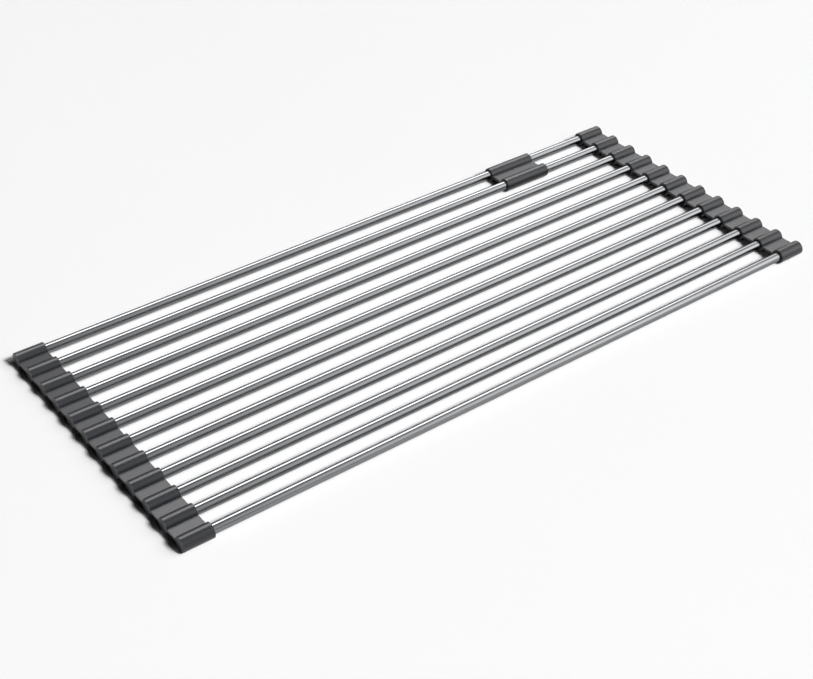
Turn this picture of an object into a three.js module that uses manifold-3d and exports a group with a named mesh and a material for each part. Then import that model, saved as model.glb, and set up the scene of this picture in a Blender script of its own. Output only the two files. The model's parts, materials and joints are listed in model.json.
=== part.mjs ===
// Roll up dish drying rack: round steel tubes side by side, their ends pushed into two soft
// moulded strips, with a short soft tab round the two rearmost tubes.
// Each strip is a row of closed sleeves joined by flat webs. The webs are what bends, so every
// strip and the tab are cut through the middle of each web into links, one for each tube.
// Millimetres. X runs along the tubes, Y from the front tube to the rear one, Z up.
// The origin is on the surface that the rack lies on, below the middle of its outline.

import * as THREE from 'three';
import { mergeVertices } from 'three/addons/utils/BufferGeometryUtils.js';
import Module from 'manifold-3d';

// The whole rack
const rodCount = 12;
const rodPitch = 20;
const overallLength = 529.4;

// Steel tubes
const rodDiameter = 7;
const rodWall = 0.5;

// Sleeves of the soft strips
const sleeveDiameter = 10.6;
const sleeveLength = 21.7;
const sleeveEndWall = 2;
const sleeveEndRounding = 0.7;
const sleeveMouthRounding = 0.3;
const rodFit = 0.25;
const rodEndGap = 0.4;

// Webs between the sleeves
const webThickness = 2;
const webRootFillet = 0.8;
const webTipThickness = 0.3;
const webTipGap = 0.5;
const tightestFold = 111 * THREE.MathUtils.DEG2RAD;
const webRootShare = 0.4;

// Tab round the two rearmost tubes
const tabLength = 41.5;
const tabFromRightEnd = 76.8;
const tabMouthRounding = 0.5;

// Fineness of the round surfaces
const roundSides = 20;
const filletSteps = 1;

// Finishes
const steelFinish = { color: 0xb9bbbc, roughness: 0.22, metalness: 1 };
const siliconeFinish = { color: 0x4b4c4e, roughness: 0.55, metalness: 0 };

const wasm = await Module();
wasm.setup();

const rodRadius = rodDiameter / 2;
const sleeveRadius = sleeveDiameter / 2;
const boreRadius = rodRadius + rodFit;
const axisHeight = sleeveRadius;
const sleeveBoreDepth = sleeveLength - sleeveEndWall;
const rodLength = overallLength - 2 * (sleeveEndWall + rodEndGap);

// A polygon turned round an axis touches the true circle at the middle of its flats.
const flatsToCorners = 1 / Math.cos(Math.PI / roundSides);

// Shapes drawn flat are laid across the rack: drawn x runs along Y, drawn y runs up Z, and
// what is extruded runs along X.
const acrossRack = new THREE.Matrix4().makeBasis(
  new THREE.Vector3(0, 1, 0),
  new THREE.Vector3(0, 0, 1),
  new THREE.Vector3(1, 0, 0),
);

function toSolid(geometry) {
  const bare = geometry.clone();
  bare.deleteAttribute('normal');
  bare.deleteAttribute('uv');
  const merged = mergeVertices(bare);
  const corners = merged.index.array;
  const kept = [];
  for (let i = 0; i < corners.length; i += 3) {
    const [a, b, c] = corners.slice(i, i + 3);
    if (a !== b && b !== c && c !== a) {
      kept.push(a, b, c);
    }
  }
  const mesh = new wasm.Mesh({
    numProp: 3,
    vertProperties: new Float32Array(merged.attributes.position.array),
    triVerts: new Uint32Array(kept),
  });
  return new wasm.Manifold(mesh);
}

function toGeometry(solid) {
  const mesh = solid.getMesh();
  const geometry = new THREE.BufferGeometry();
  geometry.setAttribute('position', new THREE.BufferAttribute(mesh.vertProperties, 3));
  geometry.setIndex(new THREE.BufferAttribute(mesh.triVerts, 1));
  geometry.computeVertexNormals();
  return geometry;
}

// Turns a profile of [radius, distance along X] points round the X axis, with a flat of the
// polygon facing straight down and another straight up.
function turned(profile) {
  const points = profile.map(([radius, along]) => new THREE.Vector2(radius * flatsToCorners, along));
  const geometry = new THREE.LatheGeometry(points, roundSides, Math.PI / roundSides);
  geometry.rotateZ(-Math.PI / 2);
  return geometry;
}

// A sleeve closed at x = 0, with its mouth at the other end.
function closedSleeve() {
  return turned([
    [0, 0],
    [sleeveRadius - sleeveEndRounding, 0],
    [sleeveRadius, sleeveEndRounding],
    [sleeveRadius, sleeveLength - sleeveMouthRounding],
    [sleeveRadius - sleeveMouthRounding, sleeveLength],
    [boreRadius, sleeveLength],
    [boreRadius, sleeveLength - sleeveBoreDepth],
    [0, sleeveLength - sleeveBoreDepth],
  ]);
}

// A sleeve open at both ends, from x = 0.
function openSleeve() {
  return turned([
    [boreRadius, 0],
    [sleeveRadius - tabMouthRounding, 0],
    [sleeveRadius, tabMouthRounding],
    [sleeveRadius, tabLength - tabMouthRounding],
    [sleeveRadius - tabMouthRounding, tabLength],
    [boreRadius, tabLength],
    [boreRadius, 0],
  ]);
}

// Half of a web, from inside the sleeve's wall to just short of the fold line. Its root has a
// fillet against the sleeve, and its tip is thinned so that it clears the next link's tip when
// the two fold to the tightest angle.
function halfWeb(length) {
  const half = webThickness / 2;
  const halfTip = webTipThickness / 2;
  const filletHeight = half + webRootFillet;
  const filletAcross = Math.sqrt((sleeveRadius + webRootFillet) ** 2 - filletHeight ** 2);
  const filletStart = Math.atan2(-filletHeight, -filletAcross);
  const rootAcross = boreRadius + (sleeveRadius - boreRadius) * webRootShare;
  const rootHeight = filletHeight + webRootFillet * Math.sin(filletStart);
  const tipAcross = rodPitch / 2 - webTipGap / 2;
  const taperAcross = rodPitch / 2 - half * Math.tan(tightestFold / 2) - webTipGap / 2;
  const outline = new THREE.Shape();
  outline.moveTo(rootAcross, -rootHeight);
  outline.absarc(filletAcross, -filletHeight, webRootFillet, -filletStart, Math.PI / 2, true);
  outline.lineTo(taperAcross, -half);
  outline.lineTo(tipAcross, -halfTip);
  outline.lineTo(tipAcross, halfTip);
  outline.lineTo(taperAcross, half);
  outline.absarc(filletAcross, filletHeight, webRootFillet, -Math.PI / 2, filletStart, true);
  outline.lineTo(rootAcross, rootHeight);
  outline.closePath();
  const geometry = new THREE.ExtrudeGeometry(outline, {
    depth: length,
    bevelEnabled: false,
    curveSegments: filletSteps,
  });
  geometry.applyMatrix4(acrossRack);
  return geometry;
}

// A sleeve with its half webs: towards the rear, towards the front, or both.
function link(sleeve, length, hasRear, hasFront) {
  let solid = toSolid(sleeve);
  if (hasRear) {
    solid = solid.add(toSolid(halfWeb(length)));
  }
  if (hasFront) {
    const front = halfWeb(length);
    front.rotateX(Math.PI);
    solid = solid.add(toSolid(front));
  }
  return toGeometry(solid);
}

// A steel tube along X, open at both ends, with its middle at x = 0.
function tube() {
  const end = rodLength / 2;
  const inner = rodRadius - rodWall;
  return turned([
    [inner, -end],
    [rodRadius, -end],
    [rodRadius, end],
    [inner, end],
    [inner, -end],
  ]);
}

function addMesh(parent, name, geometry, finish) {
  const mesh = new THREE.Mesh(geometry, new THREE.MeshStandardMaterial(finish));
  mesh.name = name;
  parent.add(mesh);
  return mesh;
}

const rack = new THREE.Group();
rack.name = 'roll_up_dish_drying_rack';

for (let i = 0; i < rodCount; i += 1) {
  const number = String(i + 1).padStart(2, '0');
  const isRearmost = i === 0;
  const isFrontmost = i === rodCount - 1;

  const row = new THREE.Group();
  row.position.set(0, ((rodCount - 1) / 2 - i) * rodPitch, axisHeight);
  rack.add(row);

  addMesh(row, `rod_${number}`, tube(), steelFinish);

  const leftShape = link(closedSleeve(), sleeveLength, !isRearmost, !isFrontmost);
  const left = addMesh(row, `left_strip_link_${number}`, leftShape, siliconeFinish);
  left.position.x = -overallLength / 2;

  const rightShape = link(closedSleeve(), sleeveLength, !isFrontmost, !isRearmost);
  const right = addMesh(row, `right_strip_link_${number}`, rightShape, siliconeFinish);
  right.position.x = overallLength / 2;
  right.rotation.z = Math.PI;

  if (i < 2) {
    const tabShape = link(openSleeve(), tabLength, !isRearmost, isRearmost);
    const tab = addMesh(row, `tab_link_${number}`, tabShape, siliconeFinish);
    tab.position.x = overallLength / 2 - tabFromRightEnd - tabLength;
  }
}

export default rack;
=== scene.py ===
# Roll up dish drying rack: twelve steel tubes held side by side by two soft silicone strips,
# with a short silicone tab round the two rearmost tubes. X runs along the tubes, Y from the
# front tube to the rear one, and Z up from the surface that the rack lies on.
import json
import math

import bpy
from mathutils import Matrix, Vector

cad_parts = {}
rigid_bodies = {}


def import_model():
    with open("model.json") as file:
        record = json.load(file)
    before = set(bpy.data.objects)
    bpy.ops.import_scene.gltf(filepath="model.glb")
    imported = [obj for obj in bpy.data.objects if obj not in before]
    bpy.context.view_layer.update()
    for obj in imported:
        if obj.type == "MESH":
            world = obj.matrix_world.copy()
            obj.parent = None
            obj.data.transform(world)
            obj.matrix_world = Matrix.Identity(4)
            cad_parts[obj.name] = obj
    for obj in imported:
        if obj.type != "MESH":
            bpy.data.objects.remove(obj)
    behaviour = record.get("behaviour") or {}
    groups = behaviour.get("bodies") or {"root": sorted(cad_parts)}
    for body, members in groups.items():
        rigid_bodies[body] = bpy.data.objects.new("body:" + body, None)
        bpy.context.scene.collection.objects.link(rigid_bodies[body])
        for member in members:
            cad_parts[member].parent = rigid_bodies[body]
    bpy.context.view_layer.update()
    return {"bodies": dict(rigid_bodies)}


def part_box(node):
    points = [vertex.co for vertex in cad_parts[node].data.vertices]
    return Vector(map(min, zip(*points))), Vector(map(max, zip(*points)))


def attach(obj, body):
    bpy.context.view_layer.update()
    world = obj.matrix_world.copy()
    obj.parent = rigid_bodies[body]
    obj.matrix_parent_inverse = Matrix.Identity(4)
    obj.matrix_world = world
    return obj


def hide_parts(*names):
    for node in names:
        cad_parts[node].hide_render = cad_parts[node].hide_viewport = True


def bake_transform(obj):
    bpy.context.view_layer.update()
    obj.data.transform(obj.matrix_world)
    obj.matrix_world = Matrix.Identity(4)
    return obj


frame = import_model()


# Steel tubes
# Drawn stainless steel tubes, cut square and left open at both ends. They carry the dishes,
# and their ends are pushed blind into the sleeves of the soft strips.
MM = 0.001
TUBE_WALL = 0.5 * MM
TUBE_EDGE_ROUNDING = 0.1 * MM
TUBE_SIDES = 72
ROUNDING_STEPS = 4
STEEL_LIGHT = "#88898b"
STEEL_DARK = "#818284"
STEEL_EDGE = "#b0b0b0"
STEEL_ROUGHNESS = (0.1, 0.18)
STEEL_CLOUD_SIZE = 30 * MM
DRAW_LINE_SPACING = 0.35 * MM
DRAW_LINE_LENGTH = 90 * MM
DRAW_LINE_DEPTH = 0.02 * MM
DRAW_LINE_STRENGTH = 0.05
SMOOTH_UP_TO = math.radians(38)
SOFTEN_FROM = math.radians(60)
SOFTEN_STEPS = 3


def colour(code):
    """Turns an sRGB hex colour into the linear one that the sockets take."""
    shares = [int(code[i:i + 2], 16) / 255 for i in (1, 3, 5)]
    linear = [s / 12.92 if s <= 0.04045 else ((s + 0.055) / 1.055) ** 2.4 for s in shares]
    return (*linear, 1)


def add_node(tree, kind, inputs=None, **settings):
    """Adds a node, sets it, and gives each input a value or a link from another's output."""
    node = tree.nodes.new(kind)
    for name, value in settings.items():
        setattr(node, name, value)
    for key, value in (inputs or {}).items():
        if isinstance(value, bpy.types.NodeSocket):
            tree.links.new(value, node.inputs[key])
        else:
            node.inputs[key].default_value = value
    return node


def start_tree(name, sizes):
    """Starts a geometry tree with the named sizes as its inputs. Returns it and those inputs."""
    tree = bpy.data.node_groups.new(name, "GeometryNodeTree")
    for label, kind in sizes.items():
        tree.interface.new_socket(label, in_out="INPUT", socket_type=kind)
    tree.interface.new_socket("Geometry", in_out="OUTPUT", socket_type="NodeSocketGeometry")
    return tree, add_node(tree, "NodeGroupInput").outputs


def end_tree(tree, shape, material):
    """Ends a geometry tree with real faces of one material."""
    real = add_node(tree, "GeometryNodeRealizeInstances", {"Geometry": shape})
    coated = add_node(tree, "GeometryNodeSetMaterial",
                      {"Geometry": real.outputs[0], "Material": material})
    add_node(tree, "NodeGroupOutput", {"Geometry": coated.outputs[0]})


def bake(piece):
    """Turns what a piece's modifiers make into its plain mesh."""
    evaluated = piece.evaluated_get(bpy.context.evaluated_depsgraph_get())
    piece.data = bpy.data.meshes.new_from_object(evaluated)
    piece.data.name = piece.name
    piece.modifiers.clear()


def grow(name, tree, sizes, edge_rounding=0):
    """Runs a geometry tree with its sizes and returns the piece as a plain mesh object. The
    shading follows the big faces, so the small roundings don't bend the reflections on them."""
    piece = bpy.data.objects.new(name, bpy.data.meshes.new(name))
    bpy.context.scene.collection.objects.link(piece)
    shaping = piece.modifiers.new("shape", "NODES")
    shaping.node_group = tree
    for item in tree.interface.items_tree:
        if item.in_out == "INPUT":
            shaping[item.identifier] = sizes[item.name]
    if edge_rounding:
        softening = piece.modifiers.new("soft edges", "BEVEL")
        softening.width = edge_rounding
        softening.segments = SOFTEN_STEPS
        softening.angle_limit = SOFTEN_FROM
        softening.use_clamp_overlap = False
    bake(piece)
    piece.data.shade_smooth()
    piece.data.set_sharp_from_angle(angle=SMOOTH_UP_TO)
    evening = piece.modifiers.new("even shading", "WEIGHTED_NORMAL")
    evening.weight = 100
    evening.keep_sharp = True
    bake(piece)
    return piece


def hollow_tube_tree():
    """A ring of rectangular section, swept round the X axis: a tube open at both ends."""
    tree, size = start_tree("hollow tube", {
        "Outer Radius": "NodeSocketFloat",
        "Wall": "NodeSocketFloat",
        "Length": "NodeSocketFloat",
        "Edge Rounding": "NodeSocketFloat",
        "Sides": "NodeSocketInt",
        "Middle": "NodeSocketVector",
        "Material": "NodeSocketMaterial",
    })
    half_wall = add_node(tree, "ShaderNodeMath", {0: size["Wall"], 1: 0.5}, operation="MULTIPLY")
    ring_radius = add_node(tree, "ShaderNodeMath",
                           {0: size["Outer Radius"], 1: half_wall.outputs[0]},
                           operation="SUBTRACT")
    ring = add_node(tree, "GeometryNodeCurvePrimitiveCircle",
                    {"Resolution": size["Sides"], "Radius": ring_radius.outputs[0]})
    section = add_node(tree, "GeometryNodeCurvePrimitiveQuadrilateral",
                       {"Width": size["Wall"], "Height": size["Length"]})
    softened = add_node(tree, "GeometryNodeFilletCurve",
                        {"Curve": section.outputs[0], "Count": ROUNDING_STEPS,
                         "Radius": size["Edge Rounding"], "Limit Radius": True}, mode="POLY")
    swept = add_node(tree, "GeometryNodeCurveToMesh",
                     {"Curve": ring.outputs["Curve"], "Profile Curve": softened.outputs[0]})
    placed = add_node(tree, "GeometryNodeTransform",
                      {"Geometry": swept.outputs[0], "Translation": size["Middle"],
                       "Rotation": (0, math.pi / 2, 0)})
    end_tree(tree, placed.outputs[0], size["Material"])
    return tree


def drawn_stainless_steel():
    """Drawn and polished stainless steel. Its reflections are clear, with faint lines along the
    tube that draw them out a little, and its grey is deeper than that of plain steel."""
    material = bpy.data.materials.new("drawn stainless steel")
    material.use_nodes = True
    tree = material.node_tree
    tree.nodes.clear()
    place = add_node(tree, "ShaderNodeTexCoord").outputs["Object"]
    along = add_node(tree, "ShaderNodeMapping", {
        "Vector": place,
        "Scale": (1 / DRAW_LINE_LENGTH, 1 / DRAW_LINE_SPACING, 1 / DRAW_LINE_SPACING)})
    lines = add_node(tree, "ShaderNodeTexNoise",
                     {"Vector": along.outputs[0], "Scale": 1, "Detail": 3, "Roughness": 0.6})
    clouds = add_node(tree, "ShaderNodeTexNoise",
                      {"Vector": place, "Scale": 1 / STEEL_CLOUD_SIZE, "Detail": 2})
    tone = add_node(tree, "ShaderNodeMix",
                    {"Factor": clouds.outputs["Fac"], "A": colour(STEEL_LIGHT),
                     "B": colour(STEEL_DARK)}, data_type="RGBA")
    gloss = add_node(tree, "ShaderNodeMapRange",
                     {"Value": lines.outputs["Fac"], "From Min": 0.25, "From Max": 0.75,
                      "To Min": STEEL_ROUGHNESS[0], "To Max": STEEL_ROUGHNESS[1]})
    relief = add_node(tree, "ShaderNodeBump",
                      {"Height": lines.outputs["Fac"], "Strength": DRAW_LINE_STRENGTH,
                       "Distance": DRAW_LINE_DEPTH})
    surface = add_node(tree, "ShaderNodeBsdfPrincipled",
                       {"Base Color": tone.outputs["Result"], "Metallic": 1,
                        "Specular Tint": colour(STEEL_EDGE), "Roughness": gloss.outputs[0],
                        "Normal": relief.outputs[0]})
    add_node(tree, "ShaderNodeOutputMaterial", {"Surface": surface.outputs[0]})
    return material


rows = sorted(frame["bodies"])
steel = drawn_stainless_steel()
tube_tree = hollow_tube_tree()
axes = {}
for row in rows:
    number = row[-2:]
    low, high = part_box(f"rod_{number}")
    axes[row] = (low + high) / 2
    tube_radius = (high.z - low.z) / 2
    tube = grow(f"tube_{number}", tube_tree, {
        "Outer Radius": tube_radius,
        "Wall": TUBE_WALL,
        "Length": high.x - low.x,
        "Edge Rounding": TUBE_EDGE_ROUNDING,
        "Sides": TUBE_SIDES,
        "Middle": axes[row],
        "Material": steel,
    })
    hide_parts(f"rod_{number}")
    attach(tube, row)


# Sleeves of the two strips
# Each strip is one silicone moulding: a round sleeve, closed at its outer end, on every tube,
# with flat webs between them. A sleeve stays stiff round its tube, so it moves with it.
SLEEVE_END_WALL = 2 * MM
SLEEVE_SIDES = 96
SLEEVE_ROUNDING_STEPS = 5
SLEEVE_END_ROUNDING = 0.4 * MM
SLEEVE_MOUTH_ROUNDING = 0.3 * MM
GRIP_GAP = 0.03 * MM
POLE_WELD = 0.002 * MM
SILICONE_LIGHT = "#1b1c20"
SILICONE_DARK = "#16171b"
SILICONE_ROUGHNESS = (0.29, 0.37)
SILICONE_IOR = 1.5
SILICONE_CLOUD_SIZE = 9 * MM
MOULD_GRAIN_SIZE = 0.6 * MM
MOULD_GRAIN_DEPTH = 0.07 * MM
MOULD_GRAIN_STRENGTH = 0.5


def capped_sleeve_tree():
    """A cup-shaped outline swept round the X axis: a blind sleeve with rounded edges."""
    tree, size = start_tree("capped sleeve", {
        "Radius": "NodeSocketFloat",
        "Bore Radius": "NodeSocketFloat",
        "Length": "NodeSocketFloat",
        "End Wall": "NodeSocketFloat",
        "End Rounding": "NodeSocketFloat",
        "Mouth Rounding": "NodeSocketFloat",
        "Sides": "NodeSocketInt",
        "End Centre": "NodeSocketVector",
        "Turn": "NodeSocketFloat",
        "Material": "NodeSocketMaterial",
    })
    to_axis = add_node(tree, "ShaderNodeMath", {0: size["Radius"], 1: -1.0},
                       operation="MULTIPLY")
    to_bore = add_node(tree, "ShaderNodeMath", {0: size["Bore Radius"], 1: size["Radius"]},
                       operation="SUBTRACT")
    corners = [
        (to_axis.outputs[0], 0.0, 0.0),
        (0.0, 0.0, size["End Rounding"]),
        (0.0, size["Length"], size["Mouth Rounding"]),
        (to_bore.outputs[0], size["Length"], size["Mouth Rounding"]),
        (to_bore.outputs[0], size["End Wall"], 0.0),
        (to_axis.outputs[0], size["End Wall"], 0.0),
    ]
    index = add_node(tree, "GeometryNodeInputIndex").outputs[0]
    place = add_node(tree, "GeometryNodeIndexSwitch", {"Index": index}, data_type="VECTOR")
    rounding = add_node(tree, "GeometryNodeIndexSwitch", {"Index": index}, data_type="FLOAT")
    for node in (place, rounding):
        while len(node.index_switch_items) < len(corners):
            node.index_switch_items.new()
    for i, (outward, inward, radius) in enumerate(corners):
        point = add_node(tree, "ShaderNodeCombineXYZ", {"X": outward, "Y": inward})
        tree.links.new(point.outputs[0], place.inputs[i + 1])
        if isinstance(radius, bpy.types.NodeSocket):
            tree.links.new(radius, rounding.inputs[i + 1])
    line = add_node(tree, "GeometryNodeMeshLine", {"Count": len(corners)})
    bent = add_node(tree, "GeometryNodeSetPosition",
                    {"Geometry": line.outputs[0], "Position": place.outputs[0]})
    outline = add_node(tree, "GeometryNodeMeshToCurve", {"Mesh": bent.outputs[0]})
    softened = add_node(tree, "GeometryNodeFilletCurve",
                        {"Curve": outline.outputs[0], "Count": SLEEVE_ROUNDING_STEPS,
                         "Radius": rounding.outputs[0], "Limit Radius": True}, mode="POLY")
    ring = add_node(tree, "GeometryNodeCurvePrimitiveCircle",
                    {"Resolution": size["Sides"], "Radius": size["Radius"]})
    swept = add_node(tree, "GeometryNodeCurveToMesh",
                     {"Curve": ring.outputs["Curve"], "Profile Curve": softened.outputs[0]})
    welded = add_node(tree, "GeometryNodeMergeByDistance",
                      {"Geometry": swept.outputs[0], "Distance": POLE_WELD})
    laid = add_node(tree, "GeometryNodeTransform",
                    {"Geometry": welded.outputs[0], "Rotation": (0, -math.pi / 2, 0)})
    turn = add_node(tree, "ShaderNodeCombineXYZ", {"Z": size["Turn"]})
    placed = add_node(tree, "GeometryNodeTransform",
                      {"Geometry": laid.outputs[0], "Translation": size["End Centre"],
                       "Rotation": turn.outputs[0]})
    end_tree(tree, placed.outputs[0], size["Material"])
    return tree


def moulded_silicone():
    """Black silicone rubber from a finely blasted mould. A soft sheen makes it look charcoal
    grey, and its grain is drawn coarser than the real one, so that it shows."""
    material = bpy.data.materials.new("moulded silicone")
    material.use_nodes = True
    tree = material.node_tree
    tree.nodes.clear()
    place = add_node(tree, "ShaderNodeTexCoord").outputs["Object"]
    grain = add_node(tree, "ShaderNodeTexNoise",
                     {"Vector": place, "Scale": 1 / MOULD_GRAIN_SIZE, "Detail": 3,
                      "Roughness": 0.55})
    clouds = add_node(tree, "ShaderNodeTexNoise",
                      {"Vector": place, "Scale": 1 / SILICONE_CLOUD_SIZE, "Detail": 3})
    tone = add_node(tree, "ShaderNodeMix",
                    {"Factor": clouds.outputs["Fac"], "A": colour(SILICONE_LIGHT),
                     "B": colour(SILICONE_DARK)}, data_type="RGBA")
    dulling = add_node(tree, "ShaderNodeMapRange",
                       {"Value": grain.outputs["Fac"], "From Min": 0.3, "From Max": 0.7,
                        "To Min": SILICONE_ROUGHNESS[0], "To Max": SILICONE_ROUGHNESS[1]})
    relief = add_node(tree, "ShaderNodeBump",
                      {"Height": grain.outputs["Fac"], "Strength": MOULD_GRAIN_STRENGTH,
                       "Distance": MOULD_GRAIN_DEPTH})
    surface = add_node(tree, "ShaderNodeBsdfPrincipled",
                       {"Base Color": tone.outputs["Result"], "Roughness": dulling.outputs[0],
                        "IOR": SILICONE_IOR, "Normal": relief.outputs[0]})
    add_node(tree, "ShaderNodeOutputMaterial", {"Surface": surface.outputs[0]})
    return material


silicone = moulded_silicone()
sleeve_tree = capped_sleeve_tree()
strip_boxes = {side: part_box(f"{side}_strip_link_01") for side in ("left", "right")}
sleeve_radius = (strip_boxes["left"][1].z - strip_boxes["left"][0].z) / 2
sleeve_length = strip_boxes["left"][1].x - strip_boxes["left"][0].x
bore_radius = tube_radius + GRIP_GAP
for side, turn in (("left", 0), ("right", math.pi)):
    low, high = strip_boxes[side]
    outer_end = low.x if side == "left" else high.x
    for row in rows:
        number = row[-2:]
        sleeve = grow(f"{side}_sleeve_{number}", sleeve_tree, {
            "Radius": sleeve_radius,
            "Bore Radius": bore_radius,
            "Length": sleeve_length,
            "End Wall": SLEEVE_END_WALL,
            "End Rounding": SLEEVE_END_ROUNDING,
            "Mouth Rounding": SLEEVE_MOUTH_ROUNDING,
            "Sides": SLEEVE_SIDES,
            "End Centre": (outer_end, axes[row].y, axes[row].z),
            "Turn": turn,
            "Material": silicone,
        })
        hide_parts(f"{side}_strip_link_{number}")
        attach(sleeve, row)


# Webs of the two strips
# Flat silicone webs join each sleeve to the next, at the height of the tubes' axes, with a
# small fillet at each root. The real webs bend when the rack is rolled.
WEB_THICKNESS = 2 * MM
WEB_FILLET = 0.2 * MM
WEB_EDGE_ROUNDING = 0.25 * MM
WEB_SET_BACK = 0.12 * MM
WEB_ROOT_SHARE = 0.4
WEB_STEPS = 72


def web_tree():
    """A flat bar with flared roots, drawn as a closed outline and extruded along X."""
    tree, size = start_tree("web", {
        "Length": "NodeSocketFloat",
        "Half Span": "NodeSocketFloat",
        "Half Thickness": "NodeSocketFloat",
        "Fillet Radius": "NodeSocketFloat",
        "Fillet Start": "NodeSocketFloat",
        "Root Rise": "NodeSocketFloat",
        "Steps": "NodeSocketInt",
        "End Middle": "NodeSocketVector",
        "Material": "NodeSocketMaterial",
    })
    count = add_node(tree, "ShaderNodeMath", {0: size["Steps"], 1: 2.0}, operation="MULTIPLY")
    last = add_node(tree, "ShaderNodeMath", {0: count.outputs[0], 1: 1.0}, operation="SUBTRACT")
    index = add_node(tree, "GeometryNodeInputIndex").outputs[0]
    from_end = add_node(tree, "ShaderNodeMath", {0: last.outputs[0], 1: index},
                        operation="SUBTRACT")
    step = add_node(tree, "ShaderNodeMath", {0: index, 1: from_end.outputs[0]},
                    operation="MINIMUM")
    last_step = add_node(tree, "ShaderNodeMath", {0: size["Steps"], 1: 1.0},
                         operation="SUBTRACT")
    across = add_node(tree, "ShaderNodeMapRange",
                      {"Value": step.outputs[0], "From Min": 0.0,
                       "From Max": last_step.outputs[0], "To Min": -1.0, "To Max": 1.0})
    y = add_node(tree, "ShaderNodeMath", {0: across.outputs[0], 1: size["Half Span"]},
                 operation="MULTIPLY")
    distance = add_node(tree, "ShaderNodeMath", {0: y.outputs[0]}, operation="ABSOLUTE")
    past = add_node(tree, "ShaderNodeMath", {0: distance.outputs[0], 1: size["Fillet Start"]},
                    operation="SUBTRACT")
    inside = add_node(tree, "ShaderNodeClamp",
                      {"Value": past.outputs[0], "Min": 0.0, "Max": size["Fillet Radius"]})
    squared = add_node(tree, "ShaderNodeMath", {0: inside.outputs[0], 1: 2.0}, operation="POWER")
    radius_squared = add_node(tree, "ShaderNodeMath", {0: size["Fillet Radius"], 1: 2.0},
                              operation="POWER")
    left_over = add_node(tree, "ShaderNodeMath",
                         {0: radius_squared.outputs[0], 1: squared.outputs[0]},
                         operation="SUBTRACT")
    drop = add_node(tree, "ShaderNodeMath", {0: left_over.outputs[0]}, operation="SQRT")
    rise = add_node(tree, "ShaderNodeMath", {0: size["Fillet Radius"], 1: drop.outputs[0]},
                    operation="SUBTRACT")
    held = add_node(tree, "ShaderNodeMath", {0: rise.outputs[0], 1: size["Root Rise"]},
                    operation="MINIMUM")
    height = add_node(tree, "ShaderNodeMath", {0: held.outputs[0], 1: size["Half Thickness"]},
                      operation="ADD")
    turning = add_node(tree, "ShaderNodeMath", {0: from_end.outputs[0], 1: index},
                       operation="SUBTRACT")
    face = add_node(tree, "ShaderNodeMath", {0: turning.outputs[0]}, operation="SIGN")
    z = add_node(tree, "ShaderNodeMath", {0: height.outputs[0], 1: face.outputs[0]},
                 operation="MULTIPLY")
    point = add_node(tree, "ShaderNodeCombineXYZ", {"X": y.outputs[0], "Y": z.outputs[0]})
    line = add_node(tree, "GeometryNodeMeshLine", {"Count": count.outputs[0]})
    bent = add_node(tree, "GeometryNodeSetPosition",
                    {"Geometry": line.outputs[0], "Position": point.outputs[0]})
    outline = add_node(tree, "GeometryNodeMeshToCurve", {"Mesh": bent.outputs[0]})
    closed = add_node(tree, "GeometryNodeSetSplineCyclic",
                      {"Geometry": outline.outputs[0], "Cyclic": True})
    far_end = add_node(tree, "ShaderNodeCombineXYZ", {"X": size["Length"]})
    path = add_node(tree, "GeometryNodeCurvePrimitiveLine", {"End": far_end.outputs[0]})
    bar = add_node(tree, "GeometryNodeCurveToMesh",
                   {"Curve": path.outputs[0], "Profile Curve": closed.outputs[0],
                    "Fill Caps": True})
    placed = add_node(tree, "GeometryNodeTransform",
                      {"Geometry": bar.outputs[0], "Translation": size["End Middle"]})
    end_tree(tree, placed.outputs[0], size["Material"])
    return tree


bar_tree = web_tree()


def add_web(name, start_x, length, rear_row, front_row):
    """Makes the web between two rows."""
    rear, front = axes[rear_row], axes[front_row]
    middle = (rear + front) / 2
    half_pitch = (rear.y - front.y) / 2
    half_thickness = WEB_THICKNESS / 2
    fillet_height = half_thickness + WEB_FILLET
    fillet_from_axis = math.sqrt((sleeve_radius + WEB_FILLET) ** 2 - fillet_height ** 2)
    touch_share = sleeve_radius / (sleeve_radius + WEB_FILLET)
    root_from_axis = bore_radius + (sleeve_radius - bore_radius) * WEB_ROOT_SHARE
    web = grow(name, bar_tree, {
        "Length": length - 2 * WEB_SET_BACK,
        "Half Span": half_pitch - root_from_axis,
        "Half Thickness": half_thickness,
        "Fillet Radius": WEB_FILLET,
        "Fillet Start": half_pitch - fillet_from_axis,
        "Root Rise": fillet_height * touch_share - half_thickness,
        "Steps": WEB_STEPS,
        "End Middle": (start_x + WEB_SET_BACK, middle.y, middle.z),
        "Material": silicone,
    }, edge_rounding=WEB_EDGE_ROUNDING)
    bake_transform(web)


for side in ("left", "right"):
    start_x = strip_boxes[side][0].x
    for rear_row, front_row in zip(rows, rows[1:]):
        add_web(f"{side}_web_{rear_row[-2:]}", start_x, sleeve_length, rear_row, front_row)


# Tab
# A short silicone moulding round the two rearmost tubes: two sleeves open at both ends and one
# web. The tubes pass through it. Its web is bare and finished like the strips.
TAB_EDGE_ROUNDING = 0.5 * MM

tab_low, tab_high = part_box("tab_link_01")
tab_length = tab_high.x - tab_low.x
for row in rows[:2]:
    number = row[-2:]
    sleeve = grow(f"tab_sleeve_{number}", tube_tree, {
        "Outer Radius": sleeve_radius,
        "Wall": sleeve_radius - bore_radius,
        "Length": tab_length,
        "Edge Rounding": TAB_EDGE_ROUNDING,
        "Sides": SLEEVE_SIDES,
        "Middle": ((tab_low.x + tab_high.x) / 2, axes[row].y, axes[row].z),
        "Material": silicone,
    })
    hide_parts(f"tab_link_{number}")
    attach(sleeve, row)
add_web("tab_web", tab_low.x, tab_length, rows[0], rows[1])


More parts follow.
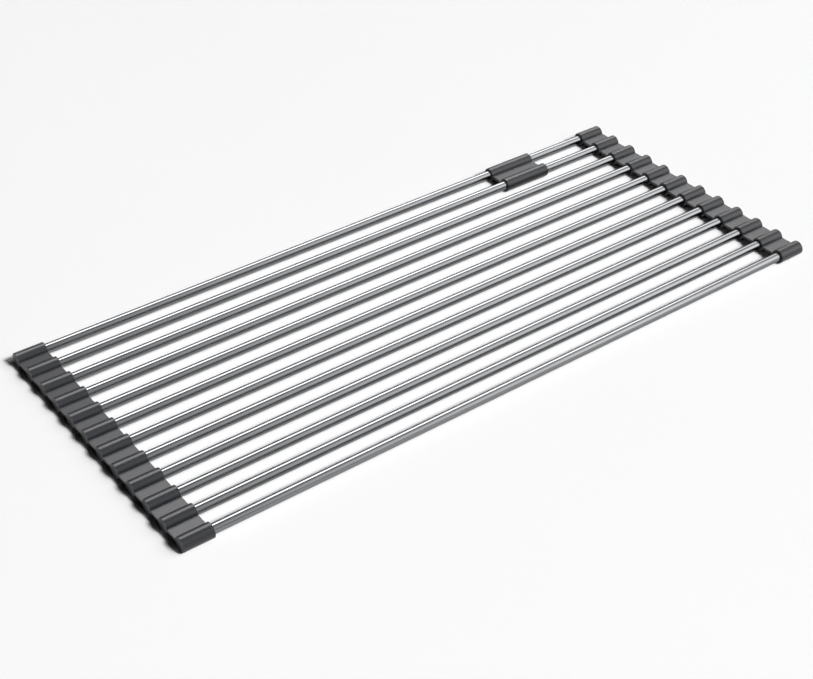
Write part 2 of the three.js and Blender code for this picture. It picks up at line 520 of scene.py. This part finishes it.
# Surface
# A wide board of matt white card that the rack lies on. It isn't part of the rack, and it keeps
# the rack's soft shadow.
BOARD_HALF = 9.0
BOARD_WHITE = "#f9f9f9"
BOARD_GREY = "#f7f7f7"
BOARD_CLOUD_SIZE = 0.4


def matt_board():
    """Matt white card: even, without gloss, with a very faint change of tone."""
    material = bpy.data.materials.new("matt white board")
    material.use_nodes = True
    tree = material.node_tree
    tree.nodes.clear()
    place = add_node(tree, "ShaderNodeTexCoord").outputs["Object"]
    clouds = add_node(tree, "ShaderNodeTexNoise",
                      {"Vector": place, "Scale": 1 / BOARD_CLOUD_SIZE, "Detail": 2})
    tone = add_node(tree, "ShaderNodeMix",
                    {"Factor": clouds.outputs["Fac"], "A": colour(BOARD_WHITE),
                     "B": colour(BOARD_GREY)}, data_type="RGBA")
    surface = add_node(tree, "ShaderNodeBsdfDiffuse", {"Color": tone.outputs["Result"]})
    add_node(tree, "ShaderNodeOutputMaterial", {"Surface": surface.outputs[0]})
    return material


corners = [(x * BOARD_HALF, y * BOARD_HALF, 0) for x, y in ((-1, -1), (1, -1), (1, 1), (-1, 1))]
board_mesh = bpy.data.meshes.new("board")
board_mesh.from_pydata(corners, [], [(0, 1, 2, 3)])
board_mesh.materials.append(matt_board())
board = bpy.data.objects.new("board", board_mesh)
bpy.context.scene.collection.objects.link(board)


# Light
# Soft studio light. A key lamp in line with the camera, whose shadows fall behind the tubes, and
# a wide weak fill lamp light the rack and the surface. The tubes and the silicone mirror a long
# card behind the rack and a pale room, whose dark gap shades the left ends of the tubes.
CARD_DISTANCE = 1.5
CARD_HEIGHT_ANGLE = math.radians(50.5)
CARD_MIDDLE_X = 0.8
CARD_SIZE = (2.6, 1.12)
CARD_ROLL = math.radians(7)
CARD_RADIANCE = 6.9
CARD_LOWER_FADE = (0.05, 0.66)
CARD_RIGHT_FADE = (0.0, 0.44)
KEY_PLACE = (8.3, -20.9, 19.9)
KEY_SIZE = (6.6, 5.4)
KEY_RADIANCE = 90
FILL_PLACE = (17.6, -16.0, 21.6)
FILL_SIZE = (24, 24)
FILL_RADIANCE = 2.7
GLOW_ANGLE = math.radians(138)
GLOW_HALF_WIDTH = math.radians(55)
GLOW_LEVEL = 2.95
ROOM_WHITE = "#ffffff"
ROOM_LEVEL = 0.8
DARK_LEVEL = 0.08
RIGHT_OF_GAP = (0.18, 0.66)
LEFT_OF_GAP = (0.14, -0.2)


def add_lamp(name, place, target, size, radiance):
    """Adds a soft rectangular lamp that faces a point, and returns its object."""
    lamp = bpy.data.lights.new(name, "AREA")
    lamp.shape = "RECTANGLE"
    lamp.size, lamp.size_y = size
    lamp.energy = radiance * math.pi * size[0] * size[1]
    holder = bpy.data.objects.new(name, lamp)
    bpy.context.scene.collection.objects.link(holder)
    holder.location = place
    holder.rotation_euler = (Vector(target) - Vector(place)).to_track_quat("-Z", "Y").to_euler()
    return holder


card_place = (CARD_MIDDLE_X, CARD_DISTANCE * math.cos(CARD_HEIGHT_ANGLE),
              CARD_DISTANCE * math.sin(CARD_HEIGHT_ANGLE))
card = add_lamp("back card", card_place, (CARD_MIDDLE_X, 0, 0), CARD_SIZE, CARD_RADIANCE)
card.rotation_euler.rotate_axis("Z", CARD_ROLL)
card.visible_diffuse = False
card.data.use_nodes = True
tree = card.data.node_tree
tree.nodes.clear()
on_card = add_node(tree, "ShaderNodeSeparateXYZ",
                   {0: add_node(tree, "ShaderNodeNewGeometry").outputs["Parametric"]}).outputs
from_below = add_node(tree, "ShaderNodeMapRange",
                      {"Value": on_card["Y"], "From Min": CARD_LOWER_FADE[0],
                       "From Max": CARD_LOWER_FADE[1]})
from_right = add_node(tree, "ShaderNodeMapRange",
                      {"Value": on_card["X"], "From Min": CARD_RIGHT_FADE[0],
                       "From Max": CARD_RIGHT_FADE[1]}, interpolation_type="SMOOTHSTEP")
share = add_node(tree, "ShaderNodeMath",
                 {0: from_below.outputs[0], 1: from_right.outputs[0]}, operation="MULTIPLY")
shine = add_node(tree, "ShaderNodeEmission", {"Strength": share.outputs[0]})
add_node(tree, "ShaderNodeOutputLight", {"Surface": shine.outputs[0]})

key = add_lamp("key lamp", KEY_PLACE, (0, 0, 0), KEY_SIZE, KEY_RADIANCE)
key.visible_glossy = False
fill = add_lamp("fill lamp", FILL_PLACE, (0, 0, 0), FILL_SIZE, FILL_RADIANCE)
fill.visible_glossy = False

world = bpy.data.worlds.new("studio room")
world.use_nodes = True
tree = world.node_tree
tree.nodes.clear()
looking = add_node(tree, "ShaderNodeSeparateXYZ",
                   {0: add_node(tree, "ShaderNodeTexCoord").outputs["Generated"]}).outputs
turn = add_node(tree, "ShaderNodeMath", {0: looking["Z"], 1: looking["Y"]}, operation="ARCTAN2")
off_glow = add_node(tree, "ShaderNodeMath", {0: turn.outputs[0], 1: GLOW_ANGLE},
                    operation="SUBTRACT")
apart = add_node(tree, "ShaderNodeMath", {0: off_glow.outputs[0]}, operation="ABSOLUTE")
glow = add_node(tree, "ShaderNodeMapRange",
                {"Value": apart.outputs[0], "From Min": 0.0, "From Max": GLOW_HALF_WIDTH,
                 "To Min": GLOW_LEVEL, "To Max": ROOM_LEVEL}, interpolation_type="SMOOTHSTEP")
to_right = add_node(tree, "ShaderNodeMapRange",
                    {"Value": looking["X"], "From Min": RIGHT_OF_GAP[0],
                     "From Max": RIGHT_OF_GAP[1]})
to_left = add_node(tree, "ShaderNodeMapRange",
                   {"Value": looking["X"], "From Min": LEFT_OF_GAP[0],
                    "From Max": LEFT_OF_GAP[1]})
share = add_node(tree, "ShaderNodeMath",
                 {0: to_right.outputs[0], 1: to_left.outputs[0]}, operation="MAXIMUM")
level = add_node(tree, "ShaderNodeMath",
                 {0: glow.outputs[0], 1: share.outputs[0], 2: DARK_LEVEL},
                 operation="MULTIPLY_ADD")
room = add_node(tree, "ShaderNodeBackground",
                {"Color": colour(ROOM_WHITE), "Strength": level.outputs[0]})
add_node(tree, "ShaderNodeOutputWorld", {"Surface": room.outputs[0]})
bpy.context.scene.world = world
world.cycles_visibility.diffuse = False


# Camera
# It looks down on the rack from the front left, from just over a metre away. Its focal length is
# given in pixels of the 813 pixel wide picture.
PHOTO_WIDTH_PX = 813
FOCAL_PX = 1526.8
SENSOR_WIDTH_MM = 36
CAMERA_PLACE = (-0.5415, -0.7034, 0.6321)
CAMERA_YAW = 0.6399
CAMERA_PITCH = 0.6401

lens = bpy.data.cameras.new("camera")
lens.sensor_width = SENSOR_WIDTH_MM
lens.lens = SENSOR_WIDTH_MM * FOCAL_PX / PHOTO_WIDTH_PX
camera = bpy.data.objects.new("camera", lens)
bpy.context.scene.collection.objects.link(camera)
camera.location = CAMERA_PLACE
camera.rotation_euler = (math.pi / 2 - CAMERA_PITCH, 0, -CAMERA_YAW)
bpy.context.scene.camera = camera
bpy.context.scene.view_settings.view_transform = "Standard"
